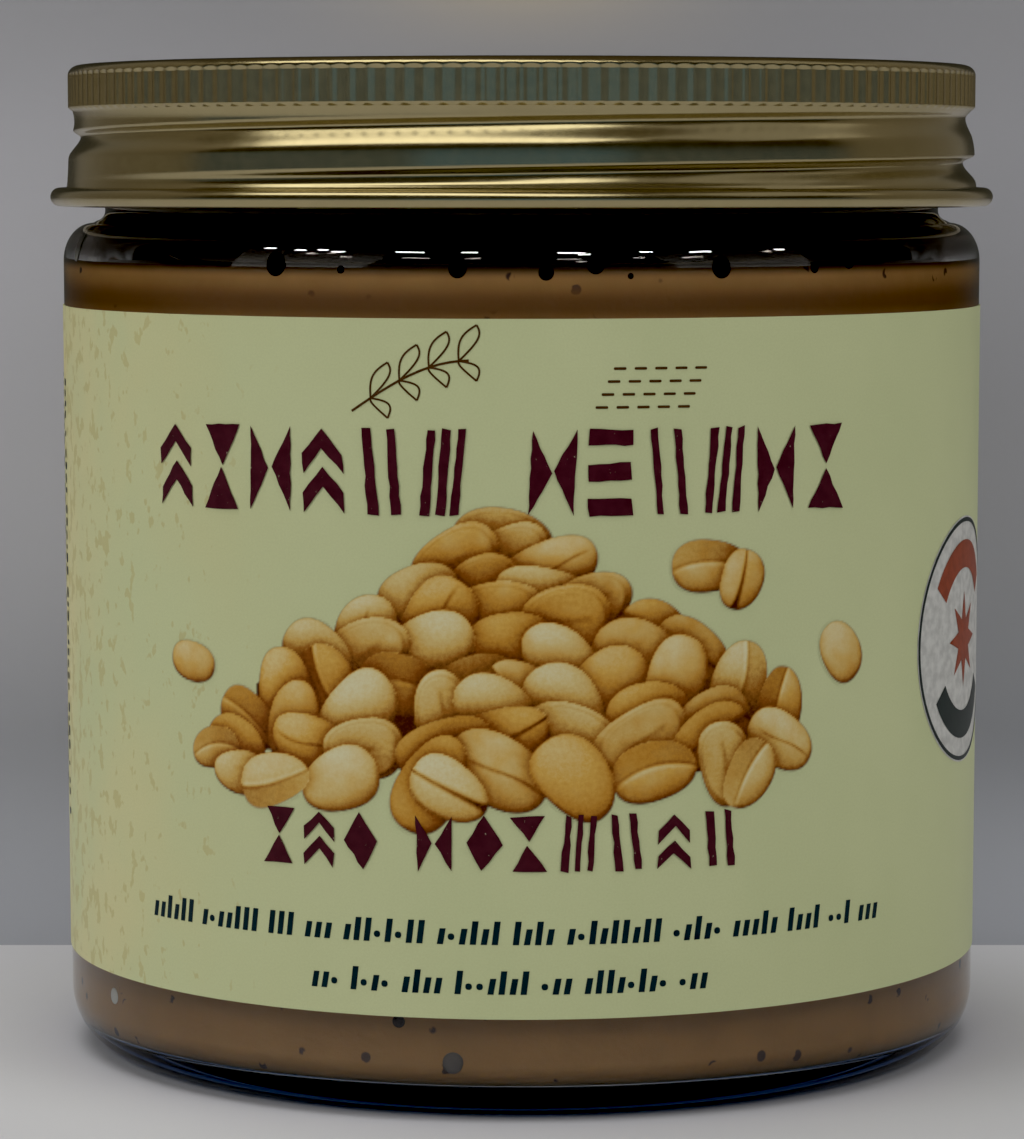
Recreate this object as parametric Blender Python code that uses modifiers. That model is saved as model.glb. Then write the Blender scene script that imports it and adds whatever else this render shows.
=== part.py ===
"""A straight-sided glass jar of peanut butter with a screw-on metal lid and a paper label.

The origin is the middle of the base and +Z is up. Four solids: the glass jar, the peanut butter
in it, the paper label round it and the pressed metal lid on its neck.
"""

from math import cos, floor, pi, radians, sin

import bmesh
import bpy
from mathutils import Matrix

MM = 0.001
GAP = 0.3 * MM

# The jar
BODY_RADIUS = 45.1 * MM
BODY_WALL = 2.8 * MM
HEEL_WIDTH = 4.5 * MM
HEEL_HEIGHT = 5.6 * MM
BEARING_WIDTH = 3.0 * MM
PUSH_UP = 1.2 * MM
FLOOR_HEIGHT = 4.0 * MM
SHOULDER_FOOT = 77.2 * MM
SHOULDER_TOP = 80.85 * MM
SHOULDER_WIDTH = 2.9 * MM
NECK_RADIUS = 41.0 * MM
NECK_WALL = 2.5 * MM
NECK_FILLET_WIDTH = 0.4 * MM
NECK_FILLET_HEIGHT = 1.05 * MM
RIM_HEIGHT = 94.7 * MM
RIM_ROUND = 0.7 * MM

# The inside of the shoulder lies a little lower than the outside
INNER_FOOT_DROP = 0.6 * MM
INNER_TOP_DROP = 0.95 * MM
INNER_BORE_STEP = 0.8 * MM
INNER_BORE_RISE = 0.7 * MM
INNER_HEEL_RADIUS = 5.0 * MM

# The label, in a shallow panel pressed into the jar's side
LABEL_FOOT = 9.7 * MM
LABEL_HEIGHT = 63.2 * MM
LABEL_RADIUS = BODY_RADIUS + 0.1 * MM
LABEL_SHEET = 0.2 * MM
LABEL_OPENING_DEG = 3.5
PANEL_MARGIN = 0.5 * MM
PANEL_SLOPE = 0.4 * MM

# The peanut butter
FILL_LEVEL = 77.6 * MM
FILL_EDGE_ROUND = 0.15 * MM
SWIRL_RELIEF = 0.35 * MM
SWIRL_TURNS = 1.5

# The lid
LID_TOP = 96.1 * MM
LID_FOOT = 82.5 * MM
LID_RADIUS = 44.5 * MM
LID_SHEET = 0.45 * MM
LID_CORNER_WIDTH = 1.2 * MM
LID_CORNER_HEIGHT = 1.25 * MM
TOP_PANEL_RADIUS = 38.4 * MM
TOP_PANEL_DEPTH = 0.5 * MM
TOP_PANEL_STEP = 0.8 * MM
CURL_RADIUS = 0.9 * MM
CURL_REACH = 46.35 * MM
SKIRT_FLARE = 0.25 * MM
SKIRT_ROWS = 9
SKIRT_MARGIN = 0.15 * MM

# The thread rolled into the lid's skirt: a right-handed groove, deepest at its middle
THREAD_PITCH = 4.5 * MM
THREAD_HEIGHT = 86.85 * MM
THREAD_START_DEG = -170.0
THREAD_END_DEG = 380.0
THREAD_HALF_WIDTH = 1.35 * MM
THREAD_DEPTH = 2.0 * MM
THREAD_RUN_OUT = 1.2

# The grip pressed into the lid's edge: shallow upright panels between narrow ribs
GRIP_PANELS = 160
GRIP_PANEL_SHARE = 0.78
GRIP_FOOT = 92.1 * MM
GRIP_TOP = 95.75 * MM
GRIP_DEPTH = 0.24 * MM
GRIP_CUTTER_DEPTH = 1.0 * MM

JAR_STEPS = 56
FILL_STEPS = 48
LID_STEPS = 72
LABEL_STEPS = 58


def arc(centre, radii, start_deg, end_deg, pieces):
    """Points of an elliptical arc as (radius, height); 0 degrees points outward and 90 up."""
    points = []
    for i in range(pieces + 1):
        angle = radians(start_deg + (end_deg - start_deg) * i / pieces)
        points.append((centre[0] + radii[0] * cos(angle), centre[1] + radii[1] * sin(angle)))
    return points


def make_collection(name):
    collection = bpy.data.collections.new(name)
    bpy.context.scene.collection.children.link(collection)
    return collection


def make_material(name, color, roughness, metallic=0.0, transmission=0.0):
    material = bpy.data.materials.new(name)
    material.use_nodes = True
    shader = material.node_tree.nodes["Principled BSDF"]
    shader.inputs["Base Color"].default_value = (*color, 1.0)
    shader.inputs["Roughness"].default_value = roughness
    shader.inputs["Metallic"].default_value = metallic
    shader.inputs["Transmission Weight"].default_value = transmission
    material.diffuse_color = (*color, 1.0)
    return material


def add_object(name, mesh, collection, material):
    obj = bpy.data.objects.new(name, mesh)
    mesh.materials.append(material)
    collection.objects.link(obj)
    return obj


def turned(name, profile, steps, collection, material, sweep_deg=360.0):
    """Turn a profile of (radius, height) points about Z with a Screw modifier."""
    mesh = bpy.data.meshes.new(name)
    edges = [(i, i + 1) for i in range(len(profile) - 1)]
    mesh.from_pydata([(r, 0.0, z) for r, z in profile], edges, [])
    obj = add_object(name, mesh, collection, material)
    screw = obj.modifiers.new("Turn", "SCREW")
    screw.axis = "Z"
    screw.angle = radians(sweep_deg)
    screw.steps = steps
    screw.render_steps = steps
    screw.use_merge_vertices = True
    screw.merge_threshold = 0.00001
    screw.use_smooth_shade = True
    return obj


def apply_modifiers(obj):
    """Bake the modifiers into the mesh, so that its points can be moved one by one."""
    depsgraph = bpy.context.evaluated_depsgraph_get()
    mesh = bpy.data.meshes.new_from_object(obj.evaluated_get(depsgraph))
    obj.modifiers.clear()
    obj.data = mesh
    return mesh


def inner_shoulder():
    """The inside of the shoulder, from the body wall in and up to the neck's bore."""
    bore = NECK_RADIUS - NECK_WALL
    wall = BODY_RADIUS - BODY_WALL
    foot = SHOULDER_FOOT - INNER_FOOT_DROP
    top = SHOULDER_TOP - INNER_TOP_DROP
    width = wall - bore - INNER_BORE_STEP
    curve = arc((wall - width, foot), (width, top - foot), 0.0, 80.0, 4)
    return curve + [(bore, top + INNER_BORE_RISE)]


def inner_floor():
    """The inside of the base, from its middle out to the foot of the body wall."""
    wall = BODY_RADIUS - BODY_WALL
    heel = INNER_HEEL_RADIUS
    corner = arc((wall - heel, FLOOR_HEIGHT + heel), (heel, heel), -90.0, 0.0, 4)
    return [(0.0, FLOOR_HEIGHT + 0.5 * PUSH_UP)] + corner


def label_panel():
    """The outer side's shallow panel for the label, from its upper edge to its lower one."""
    top = LABEL_FOOT + LABEL_HEIGHT + PANEL_MARGIN
    foot = LABEL_FOOT - PANEL_MARGIN
    depth = LABEL_RADIUS - LABEL_SHEET - GAP
    upper = [(BODY_RADIUS, top + PANEL_SLOPE), (depth, top)]
    return upper + [(depth, foot), (BODY_RADIUS, foot - PANEL_SLOPE)]


def make_jar(collection):
    """The glass: floor, wall, shoulder and neck inside, then the outer side down to the base."""
    bore = NECK_RADIUS - NECK_WALL
    ring = BODY_RADIUS - HEEL_WIDTH
    profile = inner_floor() + inner_shoulder()
    profile += arc((bore + RIM_ROUND, RIM_HEIGHT - RIM_ROUND), (RIM_ROUND, RIM_ROUND), 180.0, 90.0, 2)
    profile += arc((NECK_RADIUS - RIM_ROUND, RIM_HEIGHT - RIM_ROUND), (RIM_ROUND, RIM_ROUND), 90.0, 0.0, 2)
    fillet = (NECK_RADIUS + NECK_FILLET_WIDTH, SHOULDER_TOP + 0.3 * NECK_FILLET_HEIGHT)
    profile += [(NECK_RADIUS, SHOULDER_TOP + NECK_FILLET_HEIGHT), fillet]
    centre = (BODY_RADIUS - SHOULDER_WIDTH, SHOULDER_FOOT)
    profile += arc(centre, (SHOULDER_WIDTH, SHOULDER_TOP - SHOULDER_FOOT), 90.0, 0.0, 5)
    profile += label_panel()
    profile += arc((ring, HEEL_HEIGHT), (HEEL_WIDTH, HEEL_HEIGHT), 0.0, -90.0, 5)
    profile += [(ring - BEARING_WIDTH, 0.0), (ring - 1.5 * BEARING_WIDTH, 0.6 * PUSH_UP), (0.0, PUSH_UP)]
    glass = make_material("glass", (0.85, 0.9, 0.9), 0.03, transmission=1.0)
    return turned("glass_jar", profile, JAR_STEPS, collection, glass)


def make_fill(collection):
    """The peanut butter, up to its level, with the shallow swirl that filling leaves on top."""
    wall = BODY_RADIUS - BODY_WALL - GAP
    shoulder = [(r - GAP, z) for r, z in inner_shoulder() if z < FILL_LEVEL]
    edge = shoulder[-1][0] - FILL_EDGE_ROUND
    rings = 6
    top = [(edge * i / rings, FILL_LEVEL) for i in range(rings + 1)]
    side = list(reversed(shoulder))
    floor_line = [(min(r, wall), z + GAP) for r, z in reversed(inner_floor())]
    floor_line = [(max(r - GAP, 0.0), z) for r, z in floor_line]
    butter = make_material("peanut_butter", (0.33, 0.17, 0.06), 0.45)
    fill = turned("peanut_butter", top + side + floor_line, FILL_STEPS, collection, butter)
    mesh = apply_modifiers(fill)
    for vertex in mesh.vertices:
        if abs(vertex.co.z - FILL_LEVEL) < 0.01 * MM:
            share = vertex.co.xy.length / edge
            turn = vertex.co.to_2d().angle_signed((1.0, 0.0), 0.0) if share > 0.01 else 0.0
            ripple = sin(2.0 * pi * SWIRL_TURNS * share + turn) * share * (1.0 - share)
            vertex.co.z += 4.0 * SWIRL_RELIEF * ripple
    return fill


def make_label(collection):
    """One sheet of paper wrapped round the jar, with its two ends almost meeting at the back."""
    profile = [(LABEL_RADIUS, LABEL_FOOT + LABEL_HEIGHT), (LABEL_RADIUS, LABEL_FOOT)]
    paper = make_material("label", (0.38, 0.39, 0.21), 0.5)
    sweep = 360.0 - LABEL_OPENING_DEG
    label = turned("label", profile, LABEL_STEPS, collection, paper, sweep)
    label.rotation_euler.z = radians(90.0 + 0.5 * LABEL_OPENING_DEG)
    sheet = label.modifiers.new("Sheet", "SOLIDIFY")
    sheet.thickness = LABEL_SHEET
    sheet.offset = -1.0
    return label


def thread_depth(turn_deg):
    """Depth of the rolled thread at a place along it: it swells from one end to the middle."""
    if turn_deg <= 0.0:
        share = (turn_deg - THREAD_START_DEG) / -THREAD_START_DEG
        return THREAD_DEPTH * sin(0.5 * pi * share)
    share = 1.0 - turn_deg / THREAD_END_DEG
    return THREAD_DEPTH * sin(0.5 * pi * share) ** THREAD_RUN_OUT


def thread_inset(angle_deg, height):
    """How far the skirt is pressed in at an angle about the axis and a height."""
    inset = 0.0
    first = floor((THREAD_START_DEG - angle_deg) / 360.0)
    for lap in range(first, first + 4):
        turn_deg = angle_deg + 360.0 * lap
        if THREAD_START_DEG < turn_deg < THREAD_END_DEG:
            offset = height - (THREAD_HEIGHT + THREAD_PITCH * turn_deg / 360.0)
            if abs(offset) < THREAD_HALF_WIDTH:
                swell = cos(0.5 * pi * offset / THREAD_HALF_WIDTH) ** 2
                inset = max(inset, thread_depth(turn_deg) * swell)
    return inset


def lid_profile():
    """The pressed sheet: top panel, corner, skirt and outward curl, then back along the inside."""
    corner_radius = LID_RADIUS - LID_CORNER_WIDTH
    corner_centre = (corner_radius, LID_TOP - LID_CORNER_HEIGHT)
    corner = (LID_CORNER_WIDTH, LID_CORNER_HEIGHT)
    inner_corner = (LID_CORNER_WIDTH - LID_SHEET, LID_CORNER_HEIGHT - LID_SHEET)
    panel_top = LID_TOP - TOP_PANEL_DEPTH
    curl_centre = (CURL_REACH - CURL_RADIUS, LID_FOOT + CURL_RADIUS)
    skirt_foot = LID_FOOT + 2.0 * CURL_RADIUS + SKIRT_MARGIN
    skirt_head = GRIP_FOOT - SKIRT_MARGIN
    skirt = []
    for i in range(SKIRT_ROWS + 1):
        share = i / SKIRT_ROWS
        height = skirt_head + (skirt_foot - skirt_head) * share
        skirt.append((LID_RADIUS + SKIRT_FLARE * share ** 4, height))

    panel_rim = TOP_PANEL_RADIUS + TOP_PANEL_STEP
    outside = [(0.0, panel_top), (TOP_PANEL_RADIUS, panel_top), (panel_rim, LID_TOP)]
    outside += arc(corner_centre, corner, 90.0, 0.0, 3)
    outside += [(LID_RADIUS, GRIP_FOOT)] + skirt
    curl = arc(curl_centre, (CURL_RADIUS, CURL_RADIUS), 80.0, -150.0, 5)
    inside = [(r - LID_SHEET, z) for r, z in reversed(skirt)]
    inside += arc(corner_centre, inner_corner, 0.0, 90.0, 2)
    inside += [(panel_rim, LID_TOP - LID_SHEET), (TOP_PANEL_RADIUS, panel_top - LID_SHEET)]
    inside += [(0.0, panel_top - LID_SHEET)]
    return outside + curl + inside


def make_grip_cutter(collection, material):
    """A ring of upright blocks, one for each panel, which reach the panels' depth."""
    bm = bmesh.new()
    height = GRIP_TOP - GRIP_FOOT
    width = GRIP_PANEL_SHARE * 2.0 * pi * LID_RADIUS / GRIP_PANELS
    middle = LID_RADIUS - GRIP_DEPTH + 0.5 * GRIP_CUTTER_DEPTH
    for i in range(GRIP_PANELS):
        place = Matrix.Rotation(2.0 * pi * (i + 0.5) / GRIP_PANELS, 4, "Z")
        place = place @ Matrix.Translation((middle, 0.0, GRIP_FOOT + 0.5 * height))
        place = place @ Matrix.Diagonal((GRIP_CUTTER_DEPTH, width, height, 1.0))
        bmesh.ops.create_cube(bm, size=1.0, matrix=place)
    mesh = bpy.data.meshes.new("grip_cutter")
    bm.to_mesh(mesh)
    bm.free()
    cutter = add_object("grip_cutter", mesh, collection, material)
    cutter.hide_render = True
    cutter.display_type = "WIRE"
    return cutter


def make_lid(collection, cutters):
    """The lid, with its thread pressed in and its grip cut into the upper edge of the skirt."""
    metal = make_material("lid", (0.45, 0.38, 0.2), 0.3, metallic=1.0)
    lid = turned("lid", lid_profile(), LID_STEPS, collection, metal)
    mesh = apply_modifiers(lid)
    skirt_inside = LID_RADIUS - 1.1 * LID_SHEET
    for vertex in mesh.vertices:
        radius = vertex.co.to_2d().length
        if radius > skirt_inside and vertex.co.z > LID_FOOT + 2.0 * CURL_RADIUS:
            angle_deg = vertex.co.to_2d().angle_signed((1.0, 0.0)) * 180.0 / pi
            share = 1.0 - thread_inset(angle_deg, vertex.co.z) / radius
            vertex.co.x *= share
            vertex.co.y *= share
    grip = lid.modifiers.new("Grip", "BOOLEAN")
    grip.operation = "DIFFERENCE"
    grip.object = make_grip_cutter(cutters, metal)
    return lid


def main():
    for obj in list(bpy.data.objects):
        bpy.data.objects.remove(obj)
    jar_parts = make_collection("peanut_butter_jar")
    cutters = make_collection("cutters")
    make_jar(jar_parts)
    make_fill(jar_parts)
    make_label(jar_parts)
    make_lid(jar_parts, cutters)


main()
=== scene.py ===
"""The looks of the peanut butter jar: glass, contents, printed paper label and gold metal lid.

Sizes of the jar's pieces are in millimetres and all other lengths in metres. The jar's axis is Z,
its base is at Z = 0 and the label's front faces -Y. On the label a place is (along, height):
along runs round the paper to the right from the middle of the front, and height is measured from
the jar's base.
"""

import random
from math import ceil, cos, exp, floor, hypot, pi, radians, sin

import bmesh
import bpy
import numpy as np
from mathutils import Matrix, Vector


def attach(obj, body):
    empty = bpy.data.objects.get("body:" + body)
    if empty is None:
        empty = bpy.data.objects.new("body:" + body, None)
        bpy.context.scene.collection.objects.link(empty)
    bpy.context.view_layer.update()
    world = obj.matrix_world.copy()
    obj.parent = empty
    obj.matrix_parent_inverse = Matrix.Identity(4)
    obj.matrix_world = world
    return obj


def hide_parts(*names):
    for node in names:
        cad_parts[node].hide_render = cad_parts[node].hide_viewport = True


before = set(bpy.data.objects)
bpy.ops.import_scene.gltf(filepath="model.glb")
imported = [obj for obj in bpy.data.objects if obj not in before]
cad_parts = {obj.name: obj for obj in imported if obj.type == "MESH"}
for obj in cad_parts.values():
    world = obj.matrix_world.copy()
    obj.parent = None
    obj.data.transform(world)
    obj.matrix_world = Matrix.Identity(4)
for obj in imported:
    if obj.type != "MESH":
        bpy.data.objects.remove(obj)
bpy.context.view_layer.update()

MM = 0.001

# Main sizes; the glass floor, the sheets, the lid's corner, grip and groove differ from the solids
BODY_RADIUS = 45.1
BODY_WALL = 2.8
NECK_RADIUS = 41.0
NECK_WALL = 2.5
HEEL_WIDTH, HEEL_HEIGHT = 4.5, 5.6
FLOOR_HEIGHT = 3.4
PUSH_UP = 1.2
SHOULDER_FOOT, SHOULDER_TOP, SHOULDER_WIDTH = 77.2, 80.85, 2.9
RIM_HEIGHT = 94.7
FILL_LEVEL = 77.6
LABEL_FOOT, LABEL_HEIGHT = 9.7, 63.2
LABEL_RADIUS = BODY_RADIUS + 0.12
LABEL_SHEET = 0.1
LABEL_OPENING_DEG = 3.5
LID_TOP, LID_FOOT = 96.1, 82.5
LID_RADIUS = 44.5
LID_SHEET = 0.3
LID_CORNER_WIDTH, LID_CORNER_HEIGHT = 1.1, 1.0
TOP_PANEL_RADIUS, TOP_PANEL_DEPTH = 38.4, 0.5
CURL_RADIUS, CURL_REACH = 0.9, 46.32
THREAD_PITCH, THREAD_HEIGHT = 4.5, 86.8
THREAD_START_DEG, THREAD_END_DEG = -170.0, 440.0
THREAD_ABOVE, THREAD_BELOW, THREAD_DEPTH = 0.75, 2.1, 1.2
GRIP_PANELS, GRIP_FOOT, GRIP_TOP, GRIP_DEPTH = 160, 91.85, 95.45, 0.24

# The photograph's camera, in its own 1024 x 1139 frame
PHOTO_WIDTH, PHOTO_HEIGHT = 1024, 1139
CAMERA_DISTANCE = 0.4272
CAMERA_HEIGHT = 0.0862
CAMERA_PITCH_DEG = 6.84
FOCAL_PIXELS = 4294.0
AXIS_PIXEL_X = 521.6
OPTICAL_PIXEL_Y = 683.0
SENSOR_MM = 36.0


# Meshes

def new_piece(name, mesh, material, node=None):
    """Add a piece that rides on the jar's one body."""
    piece = bpy.data.objects.new(name, mesh)
    bpy.context.scene.collection.objects.link(piece)
    mesh.materials.append(material)
    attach(piece, "root")
    if node:
        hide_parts(node)
    return piece


def arc(centre, radii, start_deg, end_deg, pieces):
    """Points of an elliptical arc as (radius, height); 0 degrees points outward and 90 up."""
    points = []
    for i in range(pieces + 1):
        angle = radians(start_deg + (end_deg - start_deg) * i / pieces)
        points.append((centre[0] + radii[0] * cos(angle), centre[1] + radii[1] * sin(angle)))
    return points


def turned_mesh(name, rows, columns, shape=None, smooth_deg=40.0):
    """Turn (radius, height) rows about Z; shape(row, radius, height, degrees) may move a point."""
    verts, rings = [], []
    for number, (radius, height) in enumerate(rows):
        if radius < 1e-6:
            rings.append([len(verts)] * columns)
            verts.append((0.0, 0.0, height * MM))
            continue
        ring = []
        for i in range(columns):
            turn = 360.0 * i / columns
            r, z = shape(number, radius, height, turn) if shape else (radius, height)
            ring.append(len(verts))
            verts.append((r * MM * cos(radians(turn)), r * MM * sin(radians(turn)), z * MM))
        rings.append(ring)
    faces = []
    for upper, lower in zip(rings, rings[1:]):
        for i in range(columns):
            j = (i + 1) % columns
            corners = [upper[i], lower[i], lower[j], upper[j]]
            faces.append([c for k, c in enumerate(corners) if c not in corners[:k]])
    mesh = bpy.data.meshes.new(name)
    mesh.from_pydata(verts, [], faces)
    mesh.update()
    mesh.shade_smooth()
    mesh.set_sharp_from_angle(angle=radians(smooth_deg))
    return mesh


def on_label(along, height, lift):
    """The point of the label's front at (along, height) millimetres, lifted off the paper."""
    radius = LABEL_RADIUS + lift
    angle = along / LABEL_RADIUS
    return (radius * MM * sin(angle), -radius * MM * cos(angle), height * MM)


def printed_mesh(name, outlines, lift, step=1.0):
    """Flat outlines of (along, height) points, sliced finely and wrapped onto the label."""
    bm = bmesh.new()
    for outline in outlines:
        bm.faces.new([bm.verts.new((x, z, 0.0)) for x, z in outline])
    low = min(v.co.x for v in bm.verts)
    high = max(v.co.x for v in bm.verts)
    for i in range(ceil(low / step), floor(high / step) + 1):
        geometry = bm.verts[:] + bm.edges[:] + bm.faces[:]
        bmesh.ops.bisect_plane(bm, geom=geometry, plane_co=(i * step, 0, 0), plane_no=(1, 0, 0))
    bmesh.ops.triangulate(bm, faces=bm.faces)
    bmesh.ops.recalc_face_normals(bm, faces=bm.faces)
    for face in bm.faces:
        if face.normal.z < 0.0:
            face.normal_flip()
    uv = bm.loops.layers.uv.new("label_mm")
    for face in bm.faces:
        for loop in face.loops:
            loop[uv].uv = (loop.vert.co.x, loop.vert.co.y)
    for vert in bm.verts:
        vert.co = on_label(vert.co.x, vert.co.y, lift)
    mesh = bpy.data.meshes.new(name)
    bm.to_mesh(mesh)
    bm.free()
    mesh.shade_smooth()
    return mesh


# Materials

def new_material(name):
    """A node material, as the material, its node tree and its main shader."""
    material = bpy.data.materials.new(name)
    material.use_nodes = True
    tree = material.node_tree
    return material, tree, tree.nodes["Principled BSDF"]


def add_node(tree, kind, **settings):
    """A shader node; settings are its properties, or its inputs where the name is an input's."""
    node = tree.nodes.new("ShaderNode" + kind)
    for key, value in settings.items():
        if hasattr(node, key):
            setattr(node, key, value)
        else:
            node.inputs[key.replace("_", " ")].default_value = value
    return node


def noise(tree, coords, scale, detail=2.0, roughness=0.5):
    """Soft noise from 0 to 1, mostly between 0.3 and 0.7."""
    node = add_node(tree, "TexNoise", Scale=scale, Detail=detail, Roughness=roughness)
    tree.links.new(coords, node.inputs["Vector"])
    return node.outputs["Fac"]


def ramp(tree, value, stops):
    """A colour ramp through (position, colour) stops."""
    node = tree.nodes.new("ShaderNodeValToRGB")
    elements = node.color_ramp.elements
    while len(elements) < len(stops):
        elements.new(0.5)
    for element, (position, color) in zip(elements, stops):
        element.position = position
        element.color = (*color, 1.0) if len(color) == 3 else color
    tree.links.new(value, node.inputs["Fac"])
    return node.outputs["Color"]


def grey(tree, value, low, high, out_low=0.0, out_high=1.0):
    """Map a value from low..high to out_low..out_high, held at the ends."""
    node = tree.nodes.new("ShaderNodeMapRange")
    node.interpolation_type = "SMOOTHSTEP"
    node.inputs["From Min"].default_value = low
    node.inputs["From Max"].default_value = high
    node.inputs["To Min"].default_value = out_low
    node.inputs["To Max"].default_value = out_high
    tree.links.new(value, node.inputs["Value"])
    return node.outputs["Result"]


def maths(tree, operation, first, second):
    """A calculation on two values, each a socket or a number."""
    node = add_node(tree, "Math", operation=operation)
    for socket, value in zip(node.inputs, (first, second)):
        if isinstance(value, (int, float)):
            socket.default_value = value
        else:
            tree.links.new(value, socket)
    return node.outputs["Value"]


def mix(tree, factor, first, second):
    """Mix two colours, each a socket or a tuple."""
    node = add_node(tree, "Mix", data_type="RGBA")
    for socket, value in ((node.inputs[0], factor), (node.inputs[6], first), (node.inputs[7], second)):
        if isinstance(value, (int, float)):
            socket.default_value = value
        elif isinstance(value, tuple):
            socket.default_value = (*value, 1.0)
        else:
            tree.links.new(value, socket)
    return node.outputs[2]


def bump(tree, shader, height, strength, distance):
    """Fine relief on a shader, up to distance metres high."""
    node = add_node(tree, "Bump", Strength=strength, Distance=distance)
    tree.links.new(height, node.inputs["Height"])
    tree.links.new(node.outputs["Normal"], shader.inputs["Normal"])


def object_coords(tree, scale=(1.0, 1.0, 1.0)):
    """The jar's own coordinates in metres, times scale."""
    coords = tree.nodes.new("ShaderNodeTexCoord")
    mapping = tree.nodes.new("ShaderNodeMapping")
    mapping.inputs["Scale"].default_value = scale
    tree.links.new(coords.outputs["Object"], mapping.inputs["Vector"])
    return mapping.outputs["Vector"]


def label_coords(tree, scale=(1.0, 1.0, 1.0)):
    """The label's own (along, height) coordinates in millimetres, times scale."""
    uv = add_node(tree, "UVMap", uv_map="label_mm")
    mapping = tree.nodes.new("ShaderNodeMapping")
    mapping.inputs["Scale"].default_value = scale
    tree.links.new(uv.outputs["UV"], mapping.inputs["Vector"])
    return mapping.outputs["Vector"]


def split_axes(tree, coords):
    """The X, Y and Z of coordinates, as a node's outputs."""
    split = tree.nodes.new("ShaderNodeSeparateXYZ")
    tree.links.new(coords, split.inputs["Vector"])
    return split.outputs


def height_mm(tree):
    """The height above the jar's base in millimetres."""
    per_mm = 1.0 / MM
    return split_axes(tree, object_coords(tree, (per_mm, per_mm, per_mm)))["Z"]


def glass_material():
    """Clear glass with painted shade: darker and bluer in its thick base, and darkened above the contents.
    """
    base_shade_blue, clear, headspace_shade = (0.03, 0.07, 0.19), (0.92, 0.94, 0.93), (0.09, 0.08, 0.07)
    material, tree, shader = new_material("clear_glass")
    height = height_mm(tree)
    # Painted shade: the thick base is tinted dark blue and the glass above the contents darkened, for the
    # dark seen through them
    tint_and_shade = mix(tree, grey(tree, height, FLOOR_HEIGHT - 0.7, FLOOR_HEIGHT - 0.1), base_shade_blue, clear)
    tint_and_shade = mix(tree, grey(tree, height, FILL_LEVEL - 0.3, FILL_LEVEL + 1.2), tint_and_shade, headspace_shade)
    tree.links.new(tint_and_shade, shader.inputs["Base Color"])
    shader.inputs["Transmission Weight"].default_value = 1.0
    # The base hardly mirrors the floor
    mirroring = grey(tree, height, FLOOR_HEIGHT - 0.4, FLOOR_HEIGHT + 0.6, 0.03, 0.5)
    bending = grey(tree, height, FLOOR_HEIGHT - 0.6, FLOOR_HEIGHT + 0.4, 1.17, 1.5)
    tree.links.new(mirroring, shader.inputs["Specular IOR Level"])
    tree.links.new(bending, shader.inputs["IOR"])
    roughness = grey(tree, noise(tree, object_coords(tree), 60.0), 0.3, 0.7, 0.0, 0.015)
    tree.links.new(roughness, shader.inputs["Roughness"])
    waves = noise(tree, object_coords(tree, (1.0, 1.0, 0.6)), 70.0, 1.0)
    bump(tree, shader, waves, 0.04, 0.001)
    return material


def butter_material():
    """Ground peanuts: tan paste with dark specks of skin, and painted shade: a dark line at the top and
    darker bands below the level and at the foot.
    """
    material, tree, shader = new_material("peanut_paste")
    coords = object_coords(tree)
    mottle = ramp(tree, noise(tree, coords, 220.0, 4.0, 0.6),
                  [(0.3, (0.38, 0.195, 0.054)), (0.7, (0.45, 0.235, 0.068))])
    cells = add_node(tree, "TexVoronoi", Scale=330.0)
    tree.links.new(coords, cells.inputs["Vector"])
    specks = grey(tree, cells.outputs["Distance"], 0.13, 0.19, 1.0, 0.0)
    sparse = grey(tree, noise(tree, coords, 900.0, 1.0), 0.46, 0.52)
    specks = maths(tree, "MULTIPLY", specks, sparse)
    color = mix(tree, specks, mottle, (0.05, 0.018, 0.012))
    height = height_mm(tree)
    # Painted shade: a darker band between the label and the level, a dark line at the top under the lid,
    # and the shade below the label
    label_head = LABEL_FOOT + LABEL_HEIGHT
    band = maths(tree, "MULTIPLY", grey(tree, height, label_head - 0.9, label_head + 0.9),
                 grey(tree, height, FILL_LEVEL - 3.4, FILL_LEVEL - 1.0, 1.0, 0.0))
    color = mix(tree, band, color, (0.165, 0.066, 0.006))
    # Painted shade: nearly black along the top, under the lid
    top_shade = grey(tree, height, FILL_LEVEL - 1.3, FILL_LEVEL - 0.1)
    color = mix(tree, top_shade, color, (0.012, 0.005, 0.002))
    # Painted shade: darker below the label, towards the base
    low = grey(tree, height, LABEL_FOOT - 1.7, LABEL_FOOT + 0.8, 0.36, 0.0)
    color = mix(tree, low, color, (0.0, 0.0, 0.0))
    tree.links.new(color, shader.inputs["Base Color"])
    shader.inputs["Roughness"].default_value = 0.5
    shader.inputs["Subsurface Weight"].default_value = 0.15
    shader.inputs["Subsurface Radius"].default_value = (0.004, 0.002, 0.001)
    shader.inputs["Subsurface Scale"].default_value = 0.4
    bump(tree, shader, noise(tree, coords, 500.0, 5.0), 0.3, 0.0003)
    return material


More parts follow.
